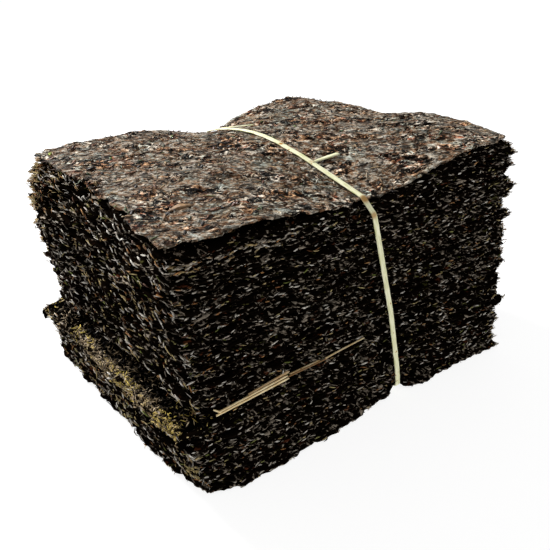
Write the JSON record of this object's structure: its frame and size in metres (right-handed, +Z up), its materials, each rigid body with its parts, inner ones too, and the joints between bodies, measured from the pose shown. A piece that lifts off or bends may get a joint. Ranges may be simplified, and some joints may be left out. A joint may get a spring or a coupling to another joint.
{
  "type": "tied bundle of nori sheets",
  "caption": "Stack of rough dried laver sheets, folded once, in two bunches tied round the middle with a flat straw; the top dips under the tie.",
  "frame": {"origin": "on the ground, under the middle of the bundle", "axes": "+X along the long side of the folded sheets, to the right as seen from the front; +Y to the back; +Z up"},
  "size_m": [0.2018, 0.1545, 0.1165],
  "materials": {
    "dark_laver": "near-black dried laver, satin, with short bright glints along the sheets' edges",
    "edge_laver": "near-black dried laver with tan and olive brown fuzz where the ledge shows its top",
    "top_laver": "dull brown grey dried laver with a satin sheen, fine wrinkles and red-brown, orange and green flecks",
    "pale_straw": "pale yellow green dry straw, fibres along its length, brown at the bends",
    "gold_straw": "golden tan split straw, dull"
  },
  "bodies": {
    "root": {"upper_sheets": "dark_laver", "lower_sheets": "edge_laver", "top_sheet": "top_laver", "straw_band": "pale_straw", "straw_stem": "gold_straw"}
  },
  "joints": []
}
